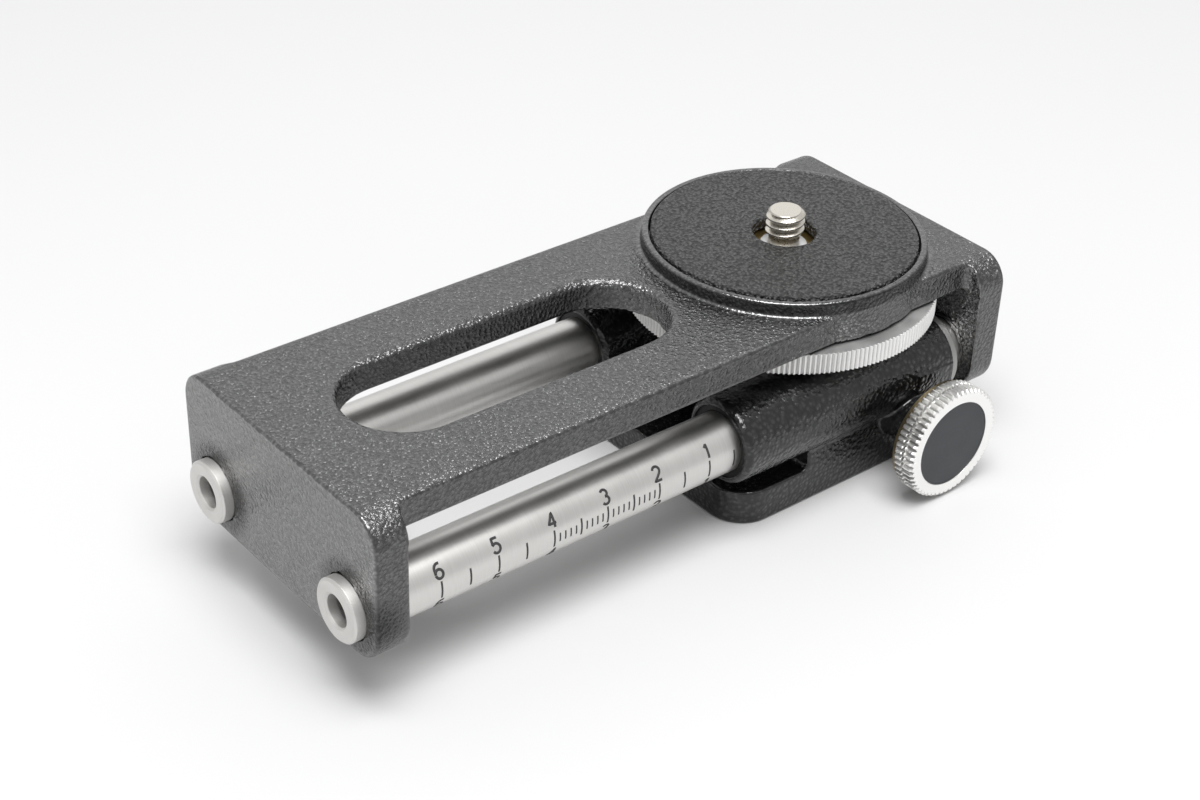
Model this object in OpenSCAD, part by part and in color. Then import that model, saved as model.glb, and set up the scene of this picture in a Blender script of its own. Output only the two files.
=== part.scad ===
// Macro focusing rail: a cast frame with a camera platform hangs on two rods, and the rods
// run through a cast carriage that stands on its tripod foot. A knob on the carriage turns a
// pinion under the near rod, whose underside is cut as a rack.
// +X runs along the rods to the rear plate, -Y is the side with the focusing knob, +Z is up.
// The origin is the mouth of the tripod socket, in the underside of the foot.

/* [Frame] */
// Length of the frame over both end plates
frame_l = 123.8; // [112:0.2:160]
// Width of the slotted top plate
frame_w = 43.6; // [40:0.2:48]
// Thickness of the top plate
frame_t = 5; // [4:0.1:6.5]
// Gap between the rear bushes' flanges and the rear plate, as photographed
rest_gap = 2.1; // [0.5:0.1:8]
// Width of the end plates
plate_w = 50.4; // [48:0.2:60]
// Height of the end plates, from the top face down
plate_h = 24.8; // [24:0.1:27]
// Thickness of an end plate
plate_t = 5.7; // [4:0.1:7]
// Radius of the end plates' upper corners
plate_top_r = 5; // [2:0.5:8]
// Radius of the end plates' lower corners
plate_low_r = 5.8; // [2:0.1:8]
// Radius where the top plate's side meets an end plate
root_r = 1.6; // [0.5:0.1:3]
// Start of the slot, from the front plate's outer face
slot_start = 12.5; // [9:0.1:20]
// Distance from the slot's rear end to the side of the platform
slot_gap = 4.15; // [2:0.05:20]
// Width of the slot
slot_w = 19.7; // [12:0.1:24]
// Rounding of the slot's upper edge
slot_edge_r = 1.2; // [0.4:0.1:2]
// Width of the window in the rear plate, where the thumbwheel runs through
window_w = 33; // [31:0.5:38]

/* [Platform] */
// Distance from the rear plate's outer face to the camera screw
platform_reach = 26.6; // [26.2:0.1:28]
// Diameter of the round camera platform
platform_d = 46.7; // [44:0.1:50]
// Height of the platform's lip above the top plate
platform_rise = 2.4; // [1.5:0.1:4]
// Radius between the platform and the top plate
platform_root_r = 1; // [0.3:0.1:2]
// Width of the lip around the pad
lip_w = 1.2; // [0.8:0.1:3]
// Depth of the recess that holds the pad
pad_recess = 1.6; // [1:0.1:2]
// Gap between the pad and the lip
pad_gap = 0.25; // [0.1:0.05:0.6]
// Thickness of the pad
pad_t = 1.9; // [1.7:0.1:2.4]
// Diameter of the hole in the pad
pad_hole_d = 10.4; // [9.6:0.1:12]

/* [Camera screw] */
// Diameter of the knurled thumbwheel
wheel_d = 51.6; // [48:0.2:52]
// Thickness of the thumbwheel
wheel_t = 3.5; // [2.5:0.1:4]
// Number of knurl grooves round the thumbwheel
wheel_grooves = 200; // [60:4:220]
// Depth of the thumbwheel's knurl
wheel_groove_depth = 0.35; // [0.2:0.05:0.5]
// Diameter of the thumbwheel's hub
hub_d = 8.6; // [7.6:0.1:9]
// Outside diameter of the brass ring that keeps the hub in the frame
keeper_d = 12.4; // [11:0.1:14]
// Thickness of the keeper ring
keeper_t = 0.8; // [0.5:0.1:1.2]
// Outside diameter of the fibre washer on the thumbwheel
wheel_washer_d = 16; // [12:0.5:24]
// Thickness of the fibre washer
wheel_washer_t = 0.3; // [0.2:0.05:0.5]
// Major diameter of the camera thread
camera_thread_d = 6.35; // [6.2:0.05:6.5]
// Height of the screw's end above the platform's lip
camera_screw_rise = 4.1; // [3:0.1:6]
// Diameter of the plain neck under the camera thread
camera_neck_d = 5.1; // [4.6:0.1:5.6]

/* [Rods] */
// Diameter of the rods
rod_d = 10; // [9.6:0.1:10.6]
// Bore of the rods
rod_bore_d = 5.1; // [3:0.1:5.4]
// Distance between the rods' axes
rod_gauge = 35; // [34:0.2:37]
// Depth of the rods' axes below the frame's top face
rod_drop = 18; // [17.6:0.1:18.6]
// Length of rod that stands out of each end plate
rod_stick = 1.8; // [0.5:0.1:4]
// Chamfer on the rods' ends
rod_chamfer = 0.35; // [0.1:0.05:0.6]
// Height of the rods' axes above the underside of the foot
rod_z = 16.6; // [16.4:0.1:18]
// Diameter of the set screws that hold the rods in the end plates
set_screw_d = 3; // [2:0.1:3.4]
// Depth of a set screw's seat in the rod's wall
set_screw_bite = 1; // [0.5:0.1:1.4]

/* [Drive] */
// Module of the rack and the pinion
gear_module = 0.5; // [0.46:0.01:0.52]
// Number of teeth on the pinion
pinion_teeth = 8; // [8:1:9]
// Pressure angle of the teeth, in degrees
pressure_angle = 20; // [20:1:22]
// Play between the flanks of the rack and the pinion
backlash = 0.16; // [0.1:0.01:0.2]
// Depth milled off the rod's underside before the teeth are cut
rack_land = 0.15; // [0.1:0.01:0.3]
// Distance from the tripod socket to the knob's axis
knob_x = 13.3; // [12:0.1:13.8]
// Diameter of the pinion shaft in its bush
shaft_d = 4; // [3.4:0.1:4]
// Wall of the shaft bush
shaft_bush_wall = 1; // [0.8:0.1:1]
// Wall of the boss round the shaft bush
shaft_boss_wall = 1.3; // [1:0.1:2]
// Distance from the middle plane to the boss's outer face
shaft_boss_y = 29.2; // [28:0.1:31]
// Diameter of the shaft's inner journal
journal_d = 2.6; // [2:0.1:2.6]
// Length of the inner journal
journal_l = 6; // [4:0.5:8]

/* [Knob] */
// Diameter of the focusing knob
knob_d = 19.6; // [16:0.1:19.8]
// Thickness of the focusing knob
knob_t = 4; // [3.6:0.1:8]
// Number of grooves round each knurled band
knob_grooves = 55; // [30:1:60]
// Depth of the knob's grooves
knob_groove_depth = 0.55; // [0.3:0.05:0.8]
// Width of the plain groove between the two bands
knob_waist = 0.45; // [0.3:0.05:0.8]
// Height of the plain bevelled rim on the knob's face
knob_rim = 0.55; // [0.3:0.05:1]
// Diameter of the disc in the knob's face
emblem_d = 15; // [10:0.1:15.4]
// Thickness of the disc in the knob's face
emblem_t = 0.5; // [0.3:0.1:0.6]
// Depth of the face of the disc below the rim
emblem_sink = 0.15; // [0.05:0.05:0.4]
// Thickness of the brass friction washer behind the knob
knob_washer_t = 0.6; // [0.4:0.1:1]
// Diameter of the friction washer
knob_washer_d = 18.6; // [12:0.2:19]

/* [Carriage] */
// Outside diameter of the sleeves
sleeve_d = 14.4; // [14:0.1:15]
// Length of the sleeves
sleeve_l = 45.6; // [44:0.2:47]
// Chamfer on the sleeves' front rims
sleeve_chamfer = 0.7; // [0.3:0.1:1]
// Wall of a rod bush
bush_wall = 1; // [0.8:0.1:1.2]
// Length of a rod bush inside the sleeve
bush_l = 4.6; // [3:0.1:4.8]
// Thickness of the rear bushes' end flange
flange_t = 1.6; // [1:0.1:2]
// Length of the foot
foot_l = 43.6; // [42:0.2:48]
// Width of the foot
foot_w = 42.2; // [40:0.2:44]
// Thickness of the foot
foot_t = 6.2; // [5:0.1:7]
// Radius of the foot's corners
foot_r = 6.3; // [3:0.1:9]
// Distance from the tripod socket to the front of the web
web_front = 6.7; // [6.5:0.1:10]
// Length of the flat pad on the near sleeve's rear end
side_pad_l = 8.2; // [6:0.1:9]

/* [Tripod socket] */
// Diameter of the outer tripod thread
tripod_outer_d = 9.525; // [9.5:0.005:9.6]
// Diameter of the inner tripod thread
tripod_inner_d = 6.4; // [6.35:0.01:6.5]
// Depth of the tripod socket
tripod_depth = 9; // [7:0.5:10]
// Length of the reducing insert
insert_l = 7.5; // [5:0.5:7.5]

/* [Lock] */
// Distance from the tripod socket forward to the lock screw
lock_reach = 10; // [8:0.5:14]
// Diameter of the lock screw's thread
lock_d = 5; // [4:0.1:5.4]
// Wall of the boss round the lock screw
lock_boss_wall = 2.3; // [1.5:0.1:2.4]
// Height of the lock boss, from the far sleeve's side
lock_boss_h = 3; // [2:0.5:6]
// Diameter of the lock screw's knurled head
lock_head_d = 13; // [10:0.5:16]
// Length of the lock screw's head
lock_head_l = 7; // [5:0.5:10]
// Number of grooves round the lock screw's head
lock_grooves = 36; // [20:1:40]
// Gap between the lock's tip and the rod when it is released
lock_gap = 0.3; // [0.2:0.05:0.5]

/* [Hidden] */
$fn = 96;
over = 0.5;              // how far a cutting shape runs past a face
run_gap = 0.04;          // radial clearance of a running fit
face_gap = 0.1;          // clearance between flat faces that pass each other
end_gap = 0.5;           // clearance past the blind end of a shaft or a screw

// heights
top_z = rod_z + rod_drop;
under_z = top_z - frame_t;
plate_low_z = top_z - plate_h;
lip_z = top_z + platform_rise;
recess_z = lip_z - pad_recess;

// carriage, along the rods, and the frame over it
sleeve_rear = foot_l / 2;
sleeve_front = sleeve_rear - sleeve_l;
bush_end = sleeve_rear + flange_t;
rear_x = bush_end + rest_gap + plate_t;
front_x = rear_x - frame_l;
screw_x = rear_x - platform_reach;
slot_r = slot_w / 2;
slot_a = front_x + slot_start + slot_r;
slot_b = screw_x - platform_d / 2 - slot_gap - slot_r;

// camera screw group
wheel_top = under_z - wheel_washer_t - face_gap / 2;
wheel_low = wheel_top - wheel_t;
wheel_gap = 0.5;         // room under the wheel where it runs through the rear plate
keeper_sink = 0.4;       // depth of the keeper ring below the floor of the pad's recess
keeper_room = 0.4;       // gap round the keeper ring
keeper_groove = 0.5;     // depth of the ring's groove in the hub
keeper_seat = recess_z - keeper_t - keeper_sink;
hub_top = keeper_seat + face_gap + keeper_t;
washer_room = 0.3;       // gap between the fibre washer and the hub
screw_inset = 0.4;       // depth of the camera screw's lower end in the wheel
screw_top = lip_z + camera_screw_rise;
thread_step = 0.2;       // length of the cone from the neck to the thread
screw_chamfer = 0.55;

// rods
rod_r = rod_d / 2;
rod_y = rod_gauge / 2;
rod_end_a = front_x - rod_stick;
rod_end_b = rear_x + rod_stick;
set_screw_x = [front_x + plate_t / 2, rear_x - plate_t / 2];
set_screw_inset = 0.2;   // depth of a set screw's end in the plate's underside
set_screw_key_d = 0.57 * set_screw_d; // hexagon socket, over its corners
set_screw_key_l = 1.2;

// drive: the rack's pitch line lies one module above the rod's milled underside
pitch_z = rod_z - rod_r + rack_land + gear_module;
pinion_r = gear_module * pinion_teeth / 2;
pinion_tip_r = pinion_r + 0.9 * gear_module;
pinion_root_r = pinion_r - 1.2 * gear_module;
pinion_z = pitch_z - pinion_r;
tooth_pitch = PI * gear_module;
rack_root = 1.25 * gear_module;  // height of the gaps' roots above the pitch line
rack_depth = gear_module + rack_root;
slide_rear = rest_gap;                          // free travel towards the front
slide_front = sleeve_front - front_x - plate_t; // free travel towards the rear
rack_a = knob_x - slide_front - 2 * tooth_pitch;
rack_b = knob_x + slide_rear + 2 * tooth_pitch;
rack_half = sqrt(pow(rod_r, 2) - pow(rod_r - rack_land - rack_depth, 2));
pinion_over = 0.2;               // the pinion is a little longer than the rack is wide
pinion_half = rack_half + pinion_over;
collar_t = 1;                    // collar between the pinion and the shaft bush
collar_rise = 0.1;               // step from the pinion's tips up to the collar
collar_r = pinion_tip_r + collar_rise;
pinion_room = 0.3;               // gap at the pinion's inner end
shaft_r = shaft_d / 2;
pocket_r = shaft_r + shaft_bush_wall;
pocket_y = rod_y - pinion_half - pinion_room;
bush_in_y = rod_y + pinion_half + collar_t + face_gap;
journal_r = journal_d / 2;

// knob: faces measured from the middle plane
knob_back = shaft_boss_y + knob_washer_t + face_gap;
knob_face = knob_back + knob_t;
knob_seat_y = knob_back + knob_t / 2;    // end of the shaft inside the knob
knob_hub_step = 0.5;             // step from the shaft down to the knob's seat
knob_hub_r = shaft_r - knob_hub_step;
band_l = (knob_t - knob_rim - knob_waist) / 2;
waist_drop = 0.1;                // the groove between the bands is deeper than the knurl
waist_r = knob_d / 2 - knob_groove_depth - waist_drop;
rim_drop = 0.12;                 // the rim lies just inside the knurl's crests
rim_r = knob_d / 2 - rim_drop;
rim_bevel = 0.6 * knob_rim;
disc_gap = 0.05;                 // gap round the disc in the knob's face
emblem_seat = knob_face - emblem_sink - emblem_t;
knob_screw_r = 0.8;
knob_screw_head_r = 2;
knob_screw_room = 0.2;           // gap round and over the screw's head
knob_screw_reach = 1.4;          // how far the screw reaches in past the boss's face

// carriage
sleeve_r = sleeve_d / 2;
bush_r = rod_r + bush_wall;
bush_inset = 0.4;        // depth of the front bushes in their sleeves
flange_drop = 0.1;       // the flanges lie just inside the sleeves
flange_r = sleeve_r - flange_drop;
flange_chamfer = 0.55;
sleeve_side = rod_y + sleeve_r;
side_pad_rise = 1.6;     // height of the flat pad's top above the rods' axes

// lock, on the far side
lock_r = lock_d / 2;
lock_tip_l = 2;
lock_tip_gap = 0.2;              // the tip slides freely in the thread's bore
lock_tip_r = lock_r - lock_tip_gap;
lock_head_gap = 0.6;             // gap between the released screw's head and the boss
lock_groove_depth = 0.4;
lock_face = rod_y + rod_r + lock_gap;
lock_boss_y = sleeve_side + lock_boss_h;
lock_head_y = lock_boss_y + lock_head_gap;

// ---------- shared shapes ----------

// a solid of revolution about an axis along X, from a profile of [radius, x]
module turned_x(profile) rotate([0, 90, 0]) rotate([0, 0, 90]) rotate_extrude() polygon(profile);

// a cylinder along X from x1 to x2
module rod_x(r, x1, x2) translate([x1, 0, 0]) rotate([0, 90, 0]) cylinder(r = r, h = x2 - x1);

// a cylinder along Y from y1 to y2
module rod_y_axis(r, y1, y2) translate([0, y2, 0]) rotate([90, 0, 0]) cylinder(r = r, h = y2 - y1);

// a solid of revolution about an axis along -Y, from a profile of [radius, distance from middle plane]
module turned_y(profile) rotate([90, 0, 0]) rotate_extrude() polygon(profile);

// a rectangle with its own radius on the upper and on the lower corners, hung from the origin
module plate_outline(w, h, r_top, r_low) {
    for (s = [-1, 1]) {
        translate([s * (w / 2 - r_top), -r_top]) circle(r_top);
        translate([s * (w / 2 - r_low), -h + r_low]) circle(r_low);
    }
    polygon([[-w / 2 + r_top, 0], [w / 2 - r_top, 0], [w / 2, -r_top], [w / 2, -h + r_low],
             [w / 2 - r_low, -h], [-w / 2 + r_low, -h], [-w / 2, -h + r_low], [-w / 2, -r_top]]);
}

// a rectangle centred on the origin with round corners
module round_rect(l, w, r) {
    for (sx = [-1, 1], sy = [-1, 1]) translate([sx * (l / 2 - r), sy * (w / 2 - r)]) circle(r);
    square([l - 2 * r, w], center = true);
    square([l, w - 2 * r], center = true);
}

// a disc with v-shaped grooves cut into its edge, and a narrow land between each two
module knurled_disc(r, grooves, depth) {
    half = 180 / grooves;
    land = half / 6;
    polygon([for (i = [0 : grooves - 1], corner = [[-land, r], [land, r], [half, r - depth]])
        let (a = 2 * half * i + corner[0]) [corner[1] * cos(a), corner[1] * sin(a)]]);
}

// one flank point of an involute tooth: radius r, half tooth angle at the pitch circle
function involute_half(r, base, pitch, half) =
    r <= base ? half + involute(acos(base / pitch))
              : half + involute(acos(base / pitch)) - involute(acos(base / r));
function involute(a) = tan(a) * 180 / PI - a;

// ---------- frame ----------

module slot_shape() {
    translate([slot_a, 0]) circle(slot_r);
    translate([slot_b, 0]) circle(slot_r);
    translate([slot_a, -slot_r]) square([slot_b - slot_a, slot_w]);
}

// the rounding of the slot's upper edge: quarter-round profile, radius first
module edge_profile() difference() {
    translate([-over, -slot_edge_r]) square([slot_edge_r + over, slot_edge_r + over]);
    translate([slot_edge_r, -slot_edge_r]) circle(slot_edge_r);
}

module slot_cut() {
    translate([0, 0, under_z - over]) linear_extrude(frame_t + 2 * over) slot_shape();
    for (x = [slot_a, slot_b]) translate([x, 0, top_z])
        rotate_extrude() translate([slot_r, 0]) edge_profile();
    for (s = [-1, 1]) translate([slot_a, s * slot_r, top_z]) rotate([90, 0, 90])
        linear_extrude(slot_b - slot_a) scale([s, 1]) edge_profile();
}

// the inside corners, in plan, where the top plate's sides meet the end plates
module root_fillets() for (sx = [0, 1], sy = [-1, 1])
    translate([sx == 0 ? front_x + plate_t : rear_x - plate_t, sy * frame_w / 2])
        scale([sx == 0 ? 1 : -1, sy]) difference() {
            translate([-over, -over]) square(root_r + over);
            translate([root_r, root_r]) circle(root_r);
        }

module end_plate(x) translate([x, 0, top_z]) rotate([90, 0, 90])
    linear_extrude(plate_t) plate_outline(plate_w, plate_h, plate_top_r, plate_low_r);

// the round platform with its lip, and the radius at its foot where that lies on the plate
module platform_body() {
    translate([screw_x, 0, under_z]) cylinder(d = platform_d, h = lip_z - under_z);
    intersection() {
        translate([screw_x, 0, top_z]) rotate_extrude() difference() {
            translate([platform_d / 2 - over, -over])
                square([platform_root_r + over, platform_root_r + over]);
            translate([platform_d / 2 + platform_root_r, platform_root_r]) circle(platform_root_r);
        }
        translate([front_x + plate_t, -frame_w / 2, under_z])
            cube([frame_l - 2 * plate_t, frame_w, lip_z - under_z]);
    }
}

module top_frame() color("#3a3b3d") difference() {
    union() {
        translate([front_x + over, -frame_w / 2, under_z])
            cube([frame_l - 2 * over, frame_w, frame_t]);
        intersection() {
            translate([0, 0, under_z]) linear_extrude(frame_t) root_fillets();
            translate([front_x, 0, top_z]) rotate([90, 0, 90])
                linear_extrude(frame_l) plate_outline(plate_w, plate_h, plate_top_r, plate_low_r);
        }
        end_plate(front_x);
        end_plate(rear_x - plate_t);
        platform_body();
    }
    slot_cut();
    // recess for the pad, seat of the keeper ring and bore of the hub
    translate([screw_x, 0, recess_z]) cylinder(d = platform_d - 2 * lip_w, h = pad_recess + over);
    translate([screw_x, 0, keeper_seat]) cylinder(r = keeper_d / 2 + keeper_room, h = lip_z - keeper_seat);
    translate([screw_x, 0, under_z - over])
        cylinder(d = hub_d + 2 * run_gap, h = lip_z - under_z);
    // window in the rear plate for the thumbwheel
    translate([rear_x - plate_t - over, -window_w / 2, wheel_low - wheel_gap])
        cube([plate_t + 2 * over, window_w, under_z - wheel_low + wheel_gap]);
    // bores of the rods and of their set screws
    for (s = [-1, 1]) {
        translate([0, s * rod_y, rod_z]) rod_x(rod_r, front_x - over, rear_x + over);
        for (x = set_screw_x)
            translate([x, s * rod_y, plate_low_z - over])
                cylinder(d = set_screw_d, h = rod_z - plate_low_z);
    }
}

// ---------- rods ----------

// a tube with chamfered ends, cut for its set screws
module plain_rod(y) difference() {
    translate([0, y, rod_z]) turned_x([
        [rod_bore_d / 2 + rod_chamfer, rod_end_a], [rod_r - rod_chamfer, rod_end_a],
        [rod_r, rod_end_a + rod_chamfer], [rod_r, rod_end_b - rod_chamfer],
        [rod_r - rod_chamfer, rod_end_b], [rod_bore_d / 2 + rod_chamfer, rod_end_b],
        [rod_bore_d / 2, rod_end_b - rod_chamfer], [rod_bore_d / 2, rod_end_a + rod_chamfer]]);
    for (x = set_screw_x)
        translate([x, y, rod_z - rod_r - over])
            cylinder(d = set_screw_d, h = set_screw_bite + over);
}

// the gaps between the rack's teeth, as a profile with +y up and the pitch line at 0
module rack_gaps() {
    first = ceil((rack_a - knob_x) / tooth_pitch);
    last = floor((rack_b - knob_x) / tooth_pitch);
    lean = tan(pressure_angle);
    half = (tooth_pitch + backlash) / 4;
    down = gear_module + rack_land + over;
    for (i = [first : last]) translate([knob_x + i * tooth_pitch, 0])
        polygon([[-half - down * lean, -down], [half + down * lean, -down],
                 [half - rack_root * lean, rack_root], [-half + rack_root * lean, rack_root]]);
}

module near_rod() color("#c9c7c2") difference() {
    plain_rod(-rod_y);
    // land and teeth of the rack, on the underside
    translate([rack_a, -rod_y - rod_r, rod_z - rod_r - over])
        cube([rack_b - rack_a, rod_d, rack_land + over]);
    translate([0, -rod_y + rod_r, pitch_z]) rotate([90, 0, 0])
        linear_extrude(rod_d) rack_gaps();
}

module far_rod() color("#c9c7c2") plain_rod(rod_y);

module rod_set_screws() color("#5a5a5c")
    for (s = [-1, 1], x = set_screw_x)
        translate([x, s * rod_y, plate_low_z + set_screw_inset]) difference() {
            cylinder(d = set_screw_d,
                     h = rod_z - rod_r + set_screw_bite - plate_low_z - set_screw_inset);
            translate([0, 0, -over])
                cylinder(d = set_screw_key_d, h = set_screw_key_l + over, $fn = 6);
        }

// ---------- camera screw group ----------

module platform_pad() color("#2b2b2b") translate([screw_x, 0, recess_z]) difference() {
    cylinder(d = platform_d - 2 * lip_w - 2 * pad_gap, h = pad_t);
    translate([0, 0, -over]) cylinder(d = pad_hole_d, h = pad_t + 2 * over);
}

module wheel_washer() color("#1c1c1c") translate([screw_x, 0, under_z - wheel_washer_t])
    difference() {
        cylinder(d = wheel_washer_d, h = wheel_washer_t);
        translate([0, 0, -over]) cylinder(d = hub_d + 2 * washer_room, h = wheel_washer_t + 2 * over);
    }

module camera_wheel() color("#d6d6d4") translate([screw_x, 0, 0]) difference() {
    union() {
        translate([0, 0, wheel_low]) linear_extrude(wheel_t)
            knurled_disc(wheel_d / 2, wheel_grooves, wheel_groove_depth);
        translate([0, 0, wheel_low]) cylinder(d = hub_d, h = hub_top - wheel_low);
    }
    // shoulder that the keeper ring is pressed on, and bore of the screw
    translate([0, 0, keeper_seat + face_gap]) difference() {
        cylinder(d = hub_d + 2 * over, h = keeper_t + over);
        translate([0, 0, -over]) cylinder(d = hub_d - 2 * keeper_groove, h = keeper_t + 3 * over);
    }
    translate([0, 0, wheel_low - over])
        cylinder(d = camera_neck_d, h = hub_top - wheel_low + 2 * over);
}

module camera_screw() color("#dedbd2") translate([screw_x, 0, 0]) rotate_extrude()
    polygon([[0, wheel_low + screw_inset], [camera_neck_d / 2, wheel_low + screw_inset],
             [camera_neck_d / 2, lip_z], [camera_thread_d / 2, lip_z + thread_step],
             [camera_thread_d / 2, screw_top - screw_chamfer],
             [camera_thread_d / 2 - screw_chamfer, screw_top], [0, screw_top]]);

module keeper_ring() color("#b08d4a") translate([screw_x, 0, keeper_seat + face_gap])
    difference() {
        cylinder(d = keeper_d, h = keeper_t);
        translate([0, 0, -over])
            cylinder(d = hub_d - 2 * keeper_groove, h = keeper_t + 2 * over);
    }

// ---------- carriage ----------

module sleeve(y) translate([0, y, rod_z]) turned_x([
    [0, sleeve_front], [sleeve_r - sleeve_chamfer, sleeve_front],
    [sleeve_r, sleeve_front + sleeve_chamfer], [sleeve_r, sleeve_rear], [0, sleeve_rear]]);

module carriage() color("#2f3032") difference() {
    union() {
        linear_extrude(foot_t) round_rect(foot_l, foot_w, foot_r);
        // the web that joins the foot to both sleeves
        intersection() {
            linear_extrude(rod_z) round_rect(foot_l, foot_w, foot_r);
            translate([-web_front, -foot_w / 2, 0])
                cube([foot_l / 2 + web_front, foot_w, rod_z]);
        }
        for (s = [-1, 1]) sleeve(s * rod_y);
        // boss of the pinion shaft and the flat pad beside it
        translate([knob_x, 0, pinion_z])
            rod_y_axis(pocket_r + shaft_boss_wall, -shaft_boss_y, -rod_y);
        translate([sleeve_rear - side_pad_l, -sleeve_side, pinion_z])
            cube([side_pad_l, sleeve_r, rod_z - pinion_z + side_pad_rise]);
        translate([-lock_reach, 0, rod_z])
            rod_y_axis(lock_r + lock_boss_wall, rod_y, lock_boss_y);
    }
    // bores of the sleeves
    for (s = [-1, 1]) translate([0, s * rod_y, rod_z])
        rod_x(bush_r, sleeve_front - over, sleeve_rear + over);
    // pocket of the pinion, and the bore of its inner journal
    translate([knob_x, 0, pinion_z]) rod_y_axis(pocket_r, -shaft_boss_y - over, -pocket_y);
    translate([knob_x, 0, pinion_z])
        rod_y_axis(journal_r + run_gap, -pocket_y - over, -pocket_y + journal_l + end_gap);
    // thread of the lock screw
    translate([-lock_reach, 0, rod_z]) rod_y_axis(lock_r, rod_y, lock_boss_y + over);
    // tripod socket
    translate([0, 0, -over]) cylinder(d = tripod_outer_d, h = tripod_depth + over);
}

// a bush pressed into a sleeve from x1 on, with a chamfered flange of thickness flange at its end
module rod_bush(y, x1, flange) color("#8b8c8a") translate([0, y, rod_z]) turned_x([
    [rod_r + run_gap, x1], [bush_r, x1], [bush_r, x1 + bush_l],
    if (flange > 0) [flange_r, x1 + bush_l],
    if (flange > 0) [flange_r, x1 + bush_l + flange - flange_chamfer],
    if (flange > 0) [flange_r - flange_chamfer, x1 + bush_l + flange],
    [rod_r + run_gap, x1 + bush_l + flange]]);

module near_front_bush() rod_bush(-rod_y, sleeve_front + bush_inset, 0);
module far_front_bush() rod_bush(rod_y, sleeve_front + bush_inset, 0);
module near_rear_bush() rod_bush(-rod_y, sleeve_rear - bush_l, flange_t);
module far_rear_bush() rod_bush(rod_y, sleeve_rear - bush_l, flange_t);

// a threaded ring that reduces the socket from the outer to the inner tripod thread
module tripod_insert() color("#a9a9a6") difference() {
    cylinder(d = tripod_outer_d, h = insert_l);
    translate([0, 0, -over]) cylinder(d = tripod_inner_d, h = insert_l + 2 * over);
}

// ---------- drive ----------

// the pinion's teeth, with one pointing straight up; they stand on the shaft's root cylinder
module pinion_teeth_outline() {
    base = pinion_r * cos(pressure_angle);
    half = 90 / pinion_teeth - backlash / 2 / pinion_r * 90 / PI;
    radii = [pinion_root_r / 2, base, pinion_r, (pinion_r + pinion_tip_r) / 2, pinion_tip_r];
    flank = [for (r = radii)
        let (a = involute_half(r, base, pinion_r, half)) [r * cos(a), r * sin(a)]];
    for (i = [0 : pinion_teeth - 1]) rotate(90 + 360 * i / pinion_teeth)
        polygon(concat([for (p = flank) [p.x, -p.y]],
                       [for (k = [len(flank) - 1 : -1 : 0]) flank[k]]));
}

// one turned piece: knob seat, journal, collar, pinion and inner journal
module pinion_shaft() color("#c2c0ba") translate([knob_x, 0, pinion_z]) {
    difference() {
        turned_y([[0, pocket_y - journal_l], [journal_r, pocket_y - journal_l],
                  [journal_r, rod_y - pinion_half], [pinion_root_r, rod_y - pinion_half],
                  [pinion_root_r, rod_y + pinion_half], [collar_r, rod_y + pinion_half],
                  [collar_r, bush_in_y - face_gap], [shaft_r - run_gap, bush_in_y - face_gap],
                  [shaft_r - run_gap, knob_back], [knob_hub_r, knob_back],
                  [knob_hub_r, knob_seat_y], [0, knob_seat_y]]);
        rod_y_axis(knob_screw_r, -knob_seat_y - over, -shaft_boss_y + knob_screw_reach + end_gap);
    }
    translate([0, -rod_y + pinion_half, 0]) rotate([90, 0, 0])
        linear_extrude(2 * pinion_half) pinion_teeth_outline();
}

module shaft_bush() color("#b08d4a") translate([knob_x, 0, pinion_z]) difference() {
    rod_y_axis(pocket_r, -shaft_boss_y, -bush_in_y);
    rod_y_axis(shaft_r, -shaft_boss_y - over, -bush_in_y + over);
}

// ---------- knob ----------

module knob_washer() color("#b39a5c") translate([knob_x, 0, pinion_z]) difference() {
    rod_y_axis(knob_washer_d / 2, -shaft_boss_y - knob_washer_t - face_gap / 2,
               -shaft_boss_y - face_gap / 2);
    rod_y_axis(shaft_r + run_gap, -knob_back - over, -shaft_boss_y + over);
}

// a knurled band of the knob from depth y1 to y2
module knob_band(y1, y2) translate([0, -y1, 0]) rotate([90, 0, 0]) linear_extrude(y2 - y1)
    knurled_disc(knob_d / 2, knob_grooves, knob_groove_depth);

module focus_knob() color("#d3d2ce") translate([knob_x, 0, pinion_z]) difference() {
    union() {
        knob_band(knob_back, knob_back + band_l);
        rod_y_axis(waist_r, -knob_face + rim_bevel, -knob_back);
        knob_band(knob_back + band_l + knob_waist, knob_face - knob_rim);
        turned_y([[0, knob_face - knob_rim], [rim_r, knob_face - knob_rim],
                  [rim_r, knob_face - rim_bevel], [rim_r - rim_bevel, knob_face], [0, knob_face]]);
    }
    // recess for the disc, seat of the screw's head, and the bore on the shaft
    rod_y_axis(emblem_d / 2, -knob_face - over, -emblem_seat);
    rod_y_axis(knob_screw_head_r + knob_screw_room, -emblem_seat - over, -knob_seat_y);
    rod_y_axis(knob_hub_r, -emblem_seat, -knob_back + over);
}

module knob_screw() color("#8d8d8b") translate([knob_x, 0, pinion_z]) {
    rod_y_axis(knob_screw_head_r, -emblem_seat + knob_screw_room, -knob_seat_y);
    rod_y_axis(knob_screw_r, -(knob_seat_y + emblem_seat) / 2, -shaft_boss_y + knob_screw_reach);
}

module emblem_disc() color("#4a4d52") translate([knob_x, 0, pinion_z])
    rod_y_axis(emblem_d / 2 - disc_gap, -emblem_seat - emblem_t, -emblem_seat);

// ---------- lock ----------

module lock_tip() color("#b08d4a") translate([-lock_reach, 0, rod_z])
    rod_y_axis(lock_tip_r, lock_face, lock_face + lock_tip_l);

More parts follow.
